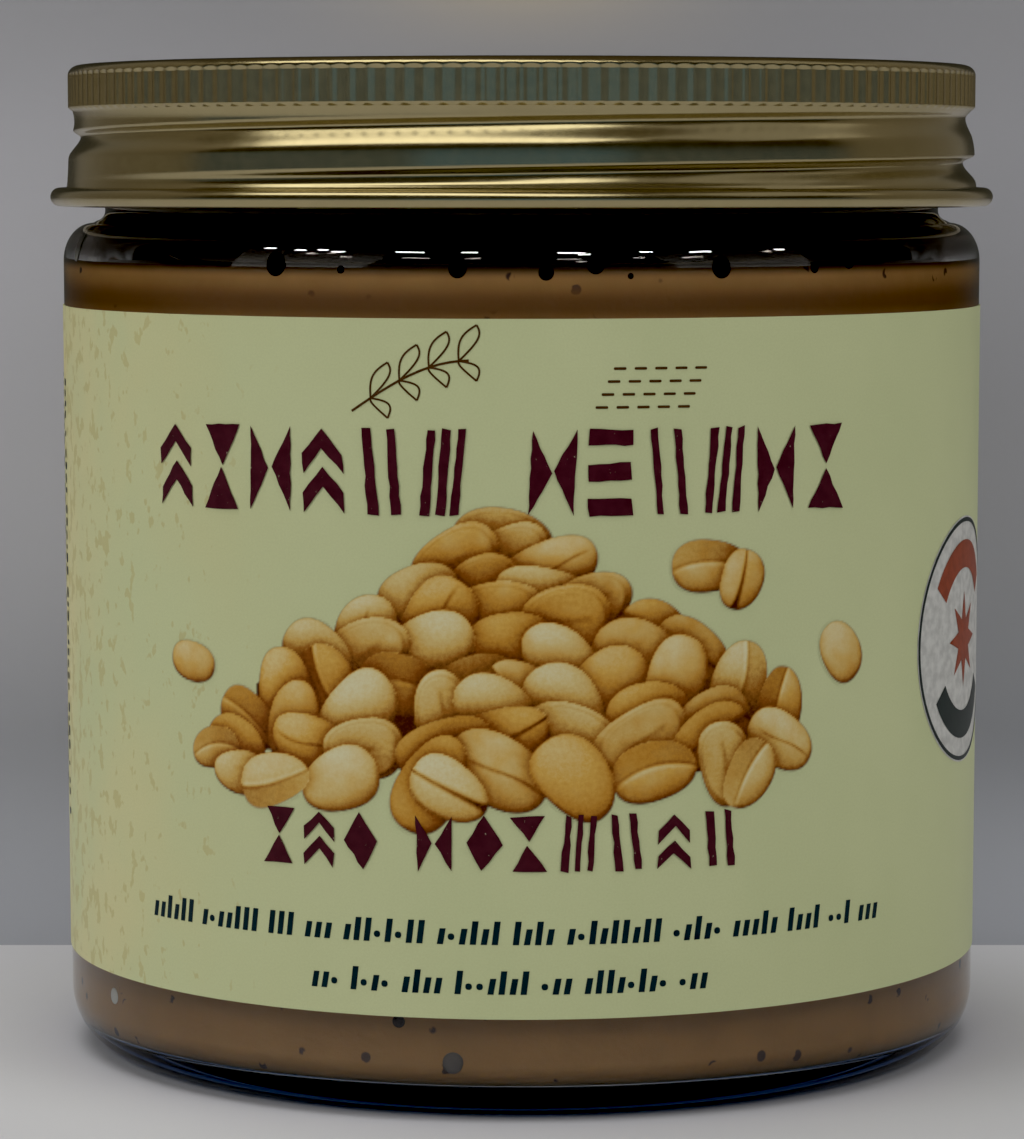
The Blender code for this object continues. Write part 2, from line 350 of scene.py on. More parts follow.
def paper_color(tree):
    """Pale yellow-green paper, yellower and spotted towards the label's left."""
    coords = label_coords(tree)
    left = grey(tree, split_axes(tree, coords)["X"], -74.0, -10.0, 1.0, 0.0)
    base = mix(tree, left, (0.560, 0.605, 0.335), (0.73, 0.655, 0.345))
    cloud = noise(tree, label_coords(tree, (0.06, 0.04, 1.0)), 1.0, 3.0)
    base = mix(tree, grey(tree, cloud, 0.3, 0.7), base, (0.59, 0.63, 0.355))
    blots = noise(tree, label_coords(tree, (0.62, 0.40, 1.0)), 1.0, 2.5, 0.6)
    reach = maths(tree, "MULTIPLY_ADD", left, -0.17)
    reach.node.inputs[2].default_value = 0.665
    over = maths(tree, "SUBTRACT", blots, reach)
    spots = maths(tree, "MULTIPLY", grey(tree, over, 0.0, 0.06), grey(tree, left, 0.02, 0.30))
    base = mix(tree, maths(tree, "MULTIPLY", spots, 0.55), base, (0.50, 0.44, 0.18))
    grain = noise(tree, coords, 5.0, 3.0, 0.7)
    return mix(tree, grey(tree, grain, 0.35, 0.65, 0.0, 0.12), base, (0.40, 0.42, 0.23))


def label_material():
    """The bare paper."""
    material, tree, shader = new_material("label_paper")
    tree.links.new(paper_color(tree), shader.inputs["Base Color"])
    shader.inputs["Roughness"].default_value = 0.5
    shader.inputs["Specular IOR Level"].default_value = 0.3
    bump(tree, shader, noise(tree, label_coords(tree), 5.0, 3.0, 0.7), 0.15, 0.00005)
    return material


def ink_material(name, color, worn=0.0, roughness=0.45):
    """Printing ink; where worn, small flecks of the paper show through."""
    material, tree, shader = new_material(name)
    shade = noise(tree, label_coords(tree), 0.9, 3.0)
    dark = tuple(0.75 * c for c in color)
    ink = mix(tree, grey(tree, shade, 0.3, 0.7), dark, color)
    if worn > 0.0:
        flecks = noise(tree, label_coords(tree, (1.0, 0.6, 1.0)), 2.6, 4.0, 0.7)
        worn_through = grey(tree, flecks, 0.74 - worn, 0.78 - worn)
        ink = mix(tree, worn_through, ink, (0.45, 0.40, 0.28))
    tree.links.new(ink, shader.inputs["Base Color"])
    shader.inputs["Roughness"].default_value = roughness
    shader.inputs["Specular IOR Level"].default_value = 0.3
    return material


def kernel_ink_material():
    """The printed kernels: light, roast and cover come from the sheet's own points."""
    material, tree, shader = new_material("kernel_ink")
    light = add_node(tree, "Attribute", attribute_name="light").outputs["Fac"]
    roast = add_node(tree, "Attribute", attribute_name="roast").outputs["Fac"]
    cover = add_node(tree, "Attribute", attribute_name="cover").outputs["Fac"]
    grain = noise(tree, label_coords(tree), 2.2, 4.0, 0.7)
    light = maths(tree, "ADD", light, grey(tree, grain, 0.25, 0.75, -0.07, 0.07))
    patches = noise(tree, label_coords(tree), 0.55, 3.0, 0.6)
    roast = maths(tree, "ADD", roast, grey(tree, patches, 0.3, 0.7, -0.22, 0.22))
    pale = ramp(tree, light, [
        (0.0, (0.06, 0.012, 0.004)), (0.25, (0.33, 0.13, 0.018)), (0.5, (0.58, 0.36, 0.09)),
        (0.75, (0.66, 0.52, 0.22)), (1.0, (0.72, 0.67, 0.42))])
    brown = ramp(tree, light, [
        (0.0, (0.05, 0.010, 0.003)), (0.25, (0.24, 0.075, 0.010)), (0.5, (0.50, 0.24, 0.035)),
        (0.75, (0.63, 0.38, 0.085)), (1.0, (0.70, 0.56, 0.25))])
    kernel = mix(tree, grey(tree, roast, 0.0, 1.0), pale, brown)
    tree.links.new(mix(tree, cover, paper_color(tree), kernel), shader.inputs["Base Color"])
    shader.inputs["Roughness"].default_value = 0.5
    shader.inputs["Specular IOR Level"].default_value = 0.3
    return material


def lid_material():
    """Gold-lacquered tinplate with a satin, slightly streaked finish."""
    material, tree, shader = new_material("gold_tinplate")
    shader.inputs["Metallic"].default_value = 1.0
    coords = object_coords(tree)
    cloud = noise(tree, coords, 120.0, 4.0, 0.6)
    color = ramp(tree, cloud, [(0.3, (0.405, 0.34, 0.185)), (0.7, (0.44, 0.375, 0.207))])
    tree.links.new(color, shader.inputs["Base Color"])
    streaks = noise(tree, coords, 900.0, 3.0)
    tree.links.new(grey(tree, streaks, 0.3, 0.7, 0.20, 0.24), shader.inputs["Roughness"])
    return material


def bubble_material():
    """Air against the glass, its light and shade painted: nearly black at the level, grey near the base,
    and a pale painted glint at the far left.
    """
    material, tree, shader = new_material("air_bubble")
    coords = object_coords(tree)
    # Painted shade: the air shows nearly black
    color = ramp(tree, noise(tree, coords, 400.0),
                 [(0.3, (0.004, 0.004, 0.006)), (0.8, (0.03, 0.022, 0.022))])
    axes = split_axes(tree, coords)
    # Painted light: paler grey near the base
    low = grey(tree, axes["Z"], 0.006, 0.008, 1.0, 0.0)
    color = mix(tree, low, color, (0.10, 0.09, 0.085))
    # Painted highlight: a pale glint on the bubble at the far left
    far_left_glint = grey(tree, axes["X"], -0.034, -0.031, 1.0, 0.0)
    color = mix(tree, far_left_glint, color, (0.55, 0.54, 0.50))
    tree.links.new(color, shader.inputs["Base Color"])
    shader.inputs["Roughness"].default_value = 0.6
    shader.inputs["Specular IOR Level"].default_value = 0.1
    return material


# The glass jar

def inner_shoulder():
    """The inside of the shoulder, from the wall up to the bore, as (radius, height) rows."""
    bore = NECK_RADIUS - NECK_WALL
    wall = BODY_RADIUS - BODY_WALL
    foot = SHOULDER_FOOT - 0.6
    top = SHOULDER_TOP - 0.95
    width = wall - bore - 0.8
    curve = arc((wall - width, foot), (width, top - foot), 0.0, 80.0, 16)
    return curve + [(bore, top + 0.7)]


def inner_floor():
    """The inside of the base, from its middle out to the wall, as (radius, height) rows."""
    wall = BODY_RADIUS - BODY_WALL
    heel = 1.8
    corner = arc((wall - heel, FLOOR_HEIGHT + heel), (heel, heel), -90.0, 0.0, 16)
    middle = FLOOR_HEIGHT + 0.5 * PUSH_UP
    return [(0.0, middle), (0.5 * (wall - heel), 0.5 * (middle + FLOOR_HEIGHT))] + corner


def make_glass():
    """The jar: up its inside, over the rim and down its outside to the base."""
    bore = NECK_RADIUS - NECK_WALL
    ring = BODY_RADIUS - HEEL_WIDTH
    lip = 0.7
    rows = inner_floor() + inner_shoulder()
    rows += arc((bore + lip, RIM_HEIGHT - lip), (lip, lip), 180.0, 90.0, 6)
    rows += arc((NECK_RADIUS - lip, RIM_HEIGHT - lip), (lip, lip), 90.0, 0.0, 6)
    rows += arc((NECK_RADIUS + 1.0, SHOULDER_TOP + 1.2), (1.0, 1.0), 180.0, 260.0, 6)
    centre = (BODY_RADIUS - SHOULDER_WIDTH, SHOULDER_FOOT)
    rows += arc(centre, (SHOULDER_WIDTH, SHOULDER_TOP - SHOULDER_FOOT), 90.0, 0.0, 24)
    rows += arc((ring, HEEL_HEIGHT), (HEEL_WIDTH, HEEL_HEIGHT), 0.0, -90.0, 24)
    rows += [(ring - 3.0, 0.0), (ring - 4.5, 0.6 * PUSH_UP), (0.5 * ring, 0.9 * PUSH_UP), (0.0, PUSH_UP)]
    mesh = turned_mesh("glass", rows, 256)
    return new_piece("glass_jar_clear", mesh, glass_material(), "glass_jar")


# The peanut butter

def make_butter():
    """The contents, which press a little into the wall so that no air shows between."""
    press = 0.15
    round_off = 0.9
    rings = 40
    swirl_height = 1.4
    shoulder = [(r + press, z) for r, z in inner_shoulder() if z < FILL_LEVEL - round_off]
    edge = shoulder[-1][0] - round_off
    top = [(edge * i / rings, FILL_LEVEL) for i in range(rings)]
    top += arc((edge, FILL_LEVEL - round_off), (round_off, round_off), 90.0, 10.0, 8)
    floor_rows = [(max(r, 0.0), z - press) for r, z in reversed(inner_floor())]
    floor_rows = [(r + (press if z > FLOOR_HEIGHT else 0.0), z) for r, z in floor_rows]

    def shape(row, radius, height, turn):
        if row >= rings:
            return radius, height
        share = radius / edge
        swirl = sin(3.0 * pi * share - radians(turn)) * share * (1.0 - share)
        return radius, height + swirl_height * swirl

    mesh = turned_mesh("butter", top + list(reversed(shoulder)) + floor_rows, 192, shape)
    return new_piece("butter_fill", mesh, butter_material(), "peanut_butter")


def make_bubbles():
    """Round air pockets against the glass, along the level and near the base."""
    # Angle from the front, height, radius, in degrees and millimetres
    pockets = (
        (-74.0, 78.0, 0.80), (-30.8, 77.4, 0.95), (-22.0, 77.1, 0.35), (-7.6, 77.2, 0.80),
        (2.9, 76.9, 0.70), (8.8, 77.5, 0.75), (13.0, 76.6, 0.3), (24.5, 77.2, 0.90),
        (37.8, 77.1, 0.45), (43.5, 77.6, 0.60), (-15.0, 8.9, 0.60), (-8.3, 5.3, 0.95),
        (-62.5, 7.1, 0.80),
    )
    radius = BODY_RADIUS - BODY_WALL + 0.1
    flat = 0.45
    bm = bmesh.new()
    for angle_deg, height, size in pockets:
        angle = radians(angle_deg)
        centre = Vector((radius * sin(angle), -radius * cos(angle), height)) * MM
        made = bmesh.ops.create_uvsphere(bm, u_segments=24, v_segments=16, radius=size * MM)
        for vert in made["verts"]:
            across = vert.co.x
            vert.co.x = across * cos(angle) - vert.co.y * flat * sin(angle)
            vert.co.y = across * sin(angle) + vert.co.y * flat * cos(angle)
            vert.co += centre
    mesh = bpy.data.meshes.new("bubbles")
    bm.to_mesh(mesh)
    bm.free()
    mesh.shade_smooth()
    return new_piece("air_bubbles", mesh, bubble_material())


# The label and its print

def make_label():
    """One sheet of paper whose two ends almost meet at the back."""
    half = pi - radians(0.5 * LABEL_OPENING_DEG)
    columns = 256
    corners = ((0.0, 0.0), (0.0, LABEL_HEIGHT), (-LABEL_SHEET, LABEL_HEIGHT), (-LABEL_SHEET, 0.0))
    verts, uvs = [], []
    for i in range(columns + 1):
        angle = -half + 2.0 * half * i / columns
        for lift, rise in corners:
            radius = (LABEL_RADIUS + lift) * MM
            verts.append((radius * sin(angle), -radius * cos(angle), (LABEL_FOOT + rise) * MM))
            uvs.append((angle * LABEL_RADIUS, LABEL_FOOT + rise))
    faces = [(3, 2, 1, 0), tuple(4 * columns + k for k in range(4))]
    for i in range(columns):
        for k in range(4):
            n = (k + 1) % 4
            faces.append((4 * i + k, 4 * i + n, 4 * i + 4 + n, 4 * i + 4 + k))
    mesh = bpy.data.meshes.new("label")
    mesh.from_pydata(verts, [], faces)
    layer = mesh.uv_layers.new(name="label_mm")
    for loop in mesh.loops:
        layer.data[loop.index].uv = uvs[loop.vertex_index]
    bm = bmesh.new()
    bm.from_mesh(mesh)
    bmesh.ops.recalc_face_normals(bm, faces=bm.faces)
    bm.to_mesh(mesh)
    bm.free()
    mesh.shade_smooth()
    mesh.set_sharp_from_angle(angle=radians(40.0))
    return new_piece("label_wrap", mesh, label_material(), "label")


def rough_outline(rng, corners):
    """A hand-cut shape: the corners a little off and the sides between them uneven."""
    off, uneven, cut_length = 0.14, 0.08, 0.8
    corners = [(x + rng.uniform(-off, off), z + rng.uniform(-off, off)) for x, z in corners]
    outline = []
    for (x0, z0), (x1, z1) in zip(corners, corners[1:] + corners[:1]):
        outline.append((x0, z0))
        dx, dz = x1 - x0, z1 - z0
        length = hypot(dx, dz)
        cuts = max(1, int(length / cut_length))
        for k in range(1, cuts):
            share = k / cuts
            wobble = rng.uniform(-uneven, uneven) / length
            outline.append((x0 + dx * share - dz * wobble, z0 + dz * share + dx * wobble))
    return outline


def slanted(left, right, lean):
    """An upright bar of a cell of unit size, with its head moved over by lean."""
    return ((left, 0.0), (right, 0.0), (right + lean, 1.0), (left + lean, 1.0))


def level(foot, head):
    """A level bar right across a cell of unit size."""
    return ((0.0, foot), (1.0, foot), (1.0, head), (0.0, head))


def chevron(foot):
    """A bent bar that points up."""
    rise, width = 0.30, 0.22
    lower = ((0.0, foot), (0.5, foot + rise), (1.0, foot))
    return lower + tuple((x, z + width) for x, z in reversed(lower))


# Simple shapes that fill a cell of the block rows
BLOCK_CELLS = (
    (slanted(0.0, 0.19, 0.16), slanted(0.35, 0.54, 0.16), slanted(0.70, 0.89, 0.16)),
    (slanted(0.16, 0.38, -0.14), slanted(0.72, 0.94, -0.14)),
    (level(0.0, 0.20), level(0.40, 0.60), level(0.80, 1.0)),
    (((0.0, 0.0), (1.0, 0.0), (0.5, 0.48)), ((0.5, 0.52), (1.0, 1.0), (0.0, 1.0))),
    (((0.5, 0.0), (1.0, 0.5), (0.5, 1.0), (0.0, 0.5)),),
    (chevron(0.0), chevron(0.46)),
    (((0.0, 0.0), (0.48, 0.5), (0.0, 1.0)), ((1.0, 0.0), (1.0, 1.0), (0.52, 0.5))),
)


def block_row(rng, left, right, foot, head, count):
    """A row of cells of hand-cut shapes, with no two neighbours alike."""
    outlines = []
    pitch = (right - left) / count
    last = None
    for i in range(count):
        last = rng.choice([cell for cell in BLOCK_CELLS if cell is not last])
        cell_left = left + pitch * i + rng.uniform(0.0, 0.3)
        width = pitch * rng.uniform(0.70, 0.76)
        lean = rng.uniform(-0.3, 0.3)
        for corners in last:
            placed = [(cell_left + width * x + lean * z, foot + (head - foot) * z) for x, z in corners]
            outlines.append(rough_outline(rng, placed))
    return outlines


def make_titles():
    """A tall row of maroon cells above the kernels and a lower row below them, each in two parts."""
    rng = random.Random(19)
    ink = ink_material("maroon_ink", (0.068, 0.014, 0.021), worn=0.07)
    outlines = []
    for left, right, foot, head, count in ((-37.2, -3.6, 55.4, 63.1, 6), (0.4, 33.0, 55.4, 63.1, 6),
                                           (-25.0, -12.2, 23.2, 28.3, 3), (-9.8, 21.2, 23.2, 28.3, 7)):
        outlines += block_row(rng, left, right, foot, head, count)
    new_piece("print_maroon_blocks", printed_mesh("maroon_blocks", outlines, 0.10), ink)


def mark_row(rng, left, right, foot, low, tall):
    """A line of small slanted strokes in groups, low ones and some tall ones, with a few dots."""
    outlines = []
    width, lean, gap = 0.56, 0.26, 0.44
    x = left
    while x < right - width:
        for _ in range(rng.randint(3, 9)):
            if x + width > right:
                break
            if rng.random() < 0.12:
                outlines.append(rounded_bar(x, x + 0.6, foot + 0.4, foot + 1.0))
            else:
                head = foot + (tall if rng.random() < 0.35 else low)
                outlines.append(((x, foot), (x + width, foot), (x + width + lean, head), (x + lean, head)))
            x += width + gap
        x += 0.9
    return outlines


def make_small_lines():
    """Two thin lines of small marks in dark ink, and the turned side panel's columns of bars."""
    rng = random.Random(11)
    ink = ink_material("dark_ink", (0.006, 0.022, 0.030))
    low, tall = 1.45, 2.15
    outlines = mark_row(rng, -39.2, 37.3, 16.55, low, tall)
    outlines += mark_row(rng, -19.8, 17.8, 12.0, low, tall)
    new_piece("print_small_lines", printed_mesh("small_lines", outlines, 0.03), ink)
    side = []
    for column in range(7):
        x = -63.4 - 2.8 * column
        z = 23.0 + 2.0 * (column % 3)
        while z < 66.0:
            length = rng.uniform(0.4, 1.1)
            side.append(rounded_bar(x, x + rng.choice((1.0, 1.4)), z, z + length))
            z += length + rng.choice((0.4, 0.4, 0.4, 1.2))
    new_piece("print_side_panel", printed_mesh("side_panel", side, 0.03), ink)


def rounded_bar(left, right, foot, head):
    """A bar with rounded ends."""
    r = 0.42 * min(right - left, head - foot)
    quarters = ((right - r, head - r, 0), (left + r, head - r, 90),
                (left + r, foot + r, 180), (right - r, foot + r, 270))
    outline = []
    for cx, cz, start in quarters:
        for k in range(4):
            angle = radians(start + 30.0 * k)
            outline.append((cx + r * cos(angle), cz + r * sin(angle)))
    return outline


def stroke(points, width):
    """A thin ribbon along a line of points, as a list of four-cornered outlines."""
    outlines = []
    for (x0, z0), (x1, z1) in zip(points, points[1:]):
        length = hypot(x1 - x0, z1 - z0)
        nx, nz = -(z1 - z0) / length * 0.5 * width, (x1 - x0) / length * 0.5 * width
        outlines.append([(x0 + nx, z0 + nz), (x0 - nx, z0 - nz), (x1 - nx, z1 - nz), (x1 + nx, z1 + nz)])
    return outlines


def make_flourishes():
    """A small sprig above the left title and a patch of short dashes above the right one."""
    ink = ink_material("brown_ink", (0.085, 0.040, 0.014))
    outlines = []
    stem = [(-15.5 + 0.9 * k, 64.6 + 4.6 * sin(0.13 * k)) for k in range(13)]
    outlines += stroke(stem, 0.22)
    for index in range(2, 12, 3):
        x, z = stem[index]
        for side in (1.0, -0.55):
            leaf = []
            for k in range(17):
                t = k / 16.0
                bend = sin(pi * t)
                leaf.append((x + 1.6 * t + 0.9 * bend, z + side * (3.2 * t) + 0.35 * bend))
            outlines += stroke(leaf, 0.18)
            back = [(px - 1.5 * sin(pi * i / 16.0), pz) for i, (px, pz) in enumerate(leaf)]
            outlines += stroke(back, 0.18)
    for row in range(4):
        for column in range(5):
            x = 6.6 + 1.9 * column + 0.55 * row
            z = 64.9 + 1.15 * row
            outlines.append(rounded_bar(x, x + 1.15, z, z + 0.24))
    new_piece("print_flourishes", printed_mesh("flourishes", outlines, 0.04), ink)


def disc(centre, radius, pieces=72):
    """A round outline."""
    turns = [2 * pi * k / pieces for k in range(pieces)]
    return [(centre[0] + radius * cos(turn), centre[1] + radius * sin(turn)) for turn in turns]


def ring_band(centre, inner, outer, start_deg, end_deg, pieces=48):
    """A band of a ring as four-cornered outlines."""
    near = arc(centre, (inner, inner), start_deg, end_deg, pieces)
    far = arc(centre, (outer, outer), start_deg, end_deg, pieces)
    return [[near[k], far[k], far[k + 1], near[k + 1]] for k in range(pieces)]


def make_badge():
    """A round white badge with a thin dark edge, a rust band, a dark band and a plain star."""
    centre = (55.6, 41.1)
    band_inner, band_outer = 6.9, 9.6
    white = ink_material("badge_white", (0.62, 0.62, 0.58))
    dark = ink_material("badge_dark", (0.018, 0.028, 0.024))
    rust = ink_material("badge_rust", (0.30, 0.06, 0.022))
    new_piece("badge_disc", printed_mesh("badge_disc", [disc(centre, 11.9)], 0.04), white)
    bands = ring_band(centre, 11.35, 11.75, 0.0, 360.0, 96)
    bands += ring_band(centre, band_inner, band_outer, 215.0, 325.0)
    new_piece("badge_edge", printed_mesh("badge_edge", bands, 0.07), dark)
    star = []
    for k in range(16):
        reach = 4.6 if k % 2 == 0 else 2.1
        star.append((centre[0] + reach * cos(pi * k / 8), centre[1] + reach * sin(pi * k / 8)))
    upper = ring_band(centre, band_inner, band_outer, 35.0, 145.0) + [star]
    new_piece("badge_rust", printed_mesh("badge_rust", upper, 0.07), rust)


class PrintedSheet:
    """A fine sheet of points on the label, on which kernels are drawn from the back to the front."""

    def __init__(self, left, right, foot, head, step):
        self.along, self.height = np.meshgrid(np.arange(left, right, step), np.arange(foot, head, step))
        self.light = np.zeros_like(self.along)
        self.roast = np.zeros_like(self.along)
        self.cover = np.zeros_like(self.along)

    def lay(self, inside, light, roast):
        """Draw over the sheet, where inside is the distance in from the new shape's edge."""
        edge = 0.12
        share = np.clip(inside / edge + 0.5, 0.0, 1.0)
        self.light += (light - self.light) * share
        self.roast += (roast - self.roast) * share
        self.cover = np.maximum(self.cover, share)


def draw_kernel(sheet, rng, along, height, length, width, turn, kind, roast, bright):
    """One kernel, lit from above on its left, with the dark of its edge on those behind it."""
    across, up = sheet.along - along, sheet.height - height
    u = (across * cos(turn) + up * sin(turn)) / (0.5 * length)
    v = (up * cos(turn) - across * sin(turn)) / (0.5 * width)
    bend, egg = rng.uniform(-0.16, 0.16), rng.uniform(-0.20, 0.20)
    v = (v + bend * (u * u - 0.35)) / (1.0 + egg * np.clip(u, -1.2, 1.2))
    plump = 2.25
    q = (np.abs(u) ** plump + np.abs(v) ** plump) ** (1.0 / plump)
    inside = (1.0 - q) * 0.5 * width

    shade = 0.80 * np.exp(-np.maximum(-inside, 0.0) / 0.70)
    sheet.light *= np.where(inside < 0.0, 1.0 - shade * np.clip(0.75 + 0.25 * up / width, 0.3, 1.0), 1.0)

    w = np.sqrt(np.maximum(0.0, 1.0 - q * q))
    nu, nv, nw = u / length, v / width, w / (0.80 * width)
    size = np.sqrt(nu * nu + nv * nv + nw * nw) + 1e-9
    nx = (nu * cos(turn) - nv * sin(turn)) / size
    nz = (nu * sin(turn) + nv * cos(turn)) / size
    ny = nw / size
    light = 0.30 + 0.62 * np.maximum(0.0, -0.30 * nx + 0.52 * nz + 0.80 * ny) + 0.06 * nz
    rim = np.clip((q - 0.86) / 0.14, 0.0, 1.0)
    light -= 0.20 * rim * np.clip(0.6 - nz, 0.0, 1.0)
    if kind == "seamed":
        seam = np.exp(-((v - 0.10 * np.sin(3.0 * u)) / 0.055) ** 2)
        light -= 0.42 * seam * np.clip((0.85 - np.abs(u - 0.1)) / 0.3, 0.0, 1.0)
    elif kind == "open":
        face = np.clip((0.84 - q) / 0.08, 0.0, 1.0)
        groove = np.exp(-(v / 0.10) ** 2) * np.clip((0.55 - np.abs(u + 0.1)) / 0.2, 0.0, 1.0)
        nub = np.exp(-((u - 0.66) ** 2 / 0.020 + v * v / 0.045))
        light = light * (1.0 - face) + face * (0.74 + 0.07 * v - 0.26 * groove + 0.16 * nub)
        light -= 0.20 * np.exp(-((q - 0.86) / 0.045) ** 2)
    elif kind == "side":
        lip = -0.12 + 0.30 * u * u
        face = np.clip((lip - v) / 0.08, 0.0, 1.0)
        light = light * (1.0 - face) + face * (0.50 + 0.10 * u)
        light += 0.16 * np.exp(-((v - lip - 0.05) / 0.07) ** 2)
        light -= 0.16 * np.exp(-((v - lip + 0.10) / 0.06) ** 2)
    elif kind == "split":
        gap = np.exp(-((v - 0.16 * u) / (0.05 + 0.05 * (u + 1.0) * (u > -1.0))) ** 2)
        light -= 0.62 * gap
    sheet.lay(inside, light * bright, roast)


def place_kernels(rng):
    """Places and sizes of the kernels: rows of a low mound, from its top down, and loose ones."""
    places = []
    rows = ((53.4, 0.0, 1), (51.0, 5.5, 3), (48.3, 11.0, 4), (45.5, 16.5, 5), (42.7, 21.0, 7),
            (39.9, 25.0, 8), (37.2, 28.5, 9), (34.6, 29.0, 9), (32.2, 25.0, 7))
    for height, half, count in rows:
        for k in range(count):
            share = (2 * k + 1) / count - 1.0
            along = -1.5 + half * share + rng.uniform(-1.2, 1.2)
            size = 1.0 - 0.28 * (abs(along) / 32.0) ** 1.5
            places.append((along, height + rng.uniform(-1.0, 1.0) - 0.8 * abs(share), size))
    # Loose kernels beside the mound and at its foot
    places += [(-33.2, 41.0, 0.62), (-30.4, 33.2, 0.68), (17.5, 50.6, 0.80), (20.6, 49.2, 0.66),
               (32.0, 42.0, 0.74), (-27.6, 31.2, 0.66), (21.5, 31.4, 0.78), (-6.5, 30.6, 0.85)]
    places.sort(key=lambda place: -place[1])
    return places


def make_kernel_heap():
    """A printed mound of peanut kernels, laid from its top and back to its foot and front."""
    rng = random.Random(41)
    sheet = PrintedSheet(-37.5, 36.5, 25.6, 57.6, 0.165)
    mound = 0.62 * (24.0 - np.abs(sheet.along + 1.5)) - (sheet.height - 39.5)
    inner = np.minimum(mound, np.minimum(sheet.height - 33.5, 24.0 - np.abs(sheet.along + 1.5)))
    sheet.lay(inner, 0.03, 0.8)
    kinds = ("whole", "whole", "whole", "seamed", "open", "open", "side", "side", "split")
    for along, height, size in place_kernels(rng):
        length, width = size * rng.uniform(8.2, 10.2), size * rng.uniform(5.7, 6.7)
        turn = rng.choice((rng.uniform(-0.7, 0.7), rng.uniform(-1.6, 1.6)))
        turn += pi if rng.random() < 0.5 else 0.0
        draw_kernel(sheet, rng, along, height, length, width, turn, rng.choice(kinds),
                    rng.choice((0.0, 0.25, 0.45, 0.6, 0.8, 1.0)), rng.uniform(0.93, 1.07))
    rows, columns = sheet.along.shape
    points = np.stack([sheet.along.ravel(), sheet.height.ravel()], axis=1)
    corner = (np.arange(rows - 1)[:, None] * columns + np.arange(columns - 1)[None, :]).ravel()
    quads = np.stack([corner, corner + 1, corner + columns + 1, corner + columns], axis=1)
    quads = quads[sheet.cover.ravel()[quads].max(axis=1) > 0.0]
    kept, quads = np.unique(quads, return_inverse=True)
    quads = quads.reshape(-1, 4)
    mesh = bpy.data.meshes.new("kernel_heap")
    mesh.from_pydata([on_label(x, z, 0.03) for x, z in points[kept]], [], quads.tolist())
    for name, values in (("light", sheet.light), ("roast", sheet.roast), ("cover", sheet.cover)):
        attribute = mesh.attributes.new(name, "FLOAT", "POINT")
        attribute.data.foreach_set("value", np.clip(values.ravel()[kept], 0.0, 1.0).astype(np.float32))
    layer = mesh.uv_layers.new(name="label_mm")
    layer.data.foreach_set("uv", points[kept][quads.ravel()].astype(np.float32).ravel())
    mesh.shade_smooth()
    new_piece("print_kernel_heap", mesh, kernel_ink_material())


# The lid

def thread_depth(turn_deg):
    """The groove's depth along its course, which runs out at both ends."""
    if turn_deg <= 0.0:
        share = (turn_deg - THREAD_START_DEG) / -THREAD_START_DEG
        return THREAD_DEPTH * sin(0.5 * pi * share) ** 1.7
    share = 1.0 - turn_deg / THREAD_END_DEG
    return THREAD_DEPTH * sin(0.5 * pi * share)


def thread_inset(angle_deg, height):
    """How far the skirt is pressed in by the rolled right-handed thread."""
    inset = 0.0
    first = floor((THREAD_START_DEG - angle_deg) / 360.0)
    for lap in range(first, first + 4):
        turn_deg = angle_deg + 360.0 * lap
        if THREAD_START_DEG < turn_deg < THREAD_END_DEG:
            offset = height - (THREAD_HEIGHT + THREAD_PITCH * turn_deg / 360.0)
            reach = THREAD_ABOVE if offset > 0.0 else THREAD_BELOW
            if abs(offset) < reach:
                swell = cos(0.5 * pi * offset / reach) ** 2
                inset = max(inset, thread_depth(turn_deg) * swell)
    return inset


def skirt_radius(height):
    """The skirt's radius, with a faint waist just under the grip."""
    return LID_RADIUS - 0.6 * exp(-((height - 90.7) / 1.75) ** 2)


def grip_radius(turn, height):
    """The grip's upright hollows between narrow ribs, which run out at its foot."""
    place = (turn * GRIP_PANELS / 360.0) % 1.0 * 2.0 - 1.0
    hollow = max(0.0, 1.0 - abs(place / 0.94) ** 3.0)
    rib = min(1.0, max(0.0, (height - GRIP_FOOT + 0.16) / 0.36))
    bare = min(LID_RADIUS - GRIP_DEPTH, skirt_radius(height))
    return bare + (LID_RADIUS - GRIP_DEPTH * hollow - bare) * rib


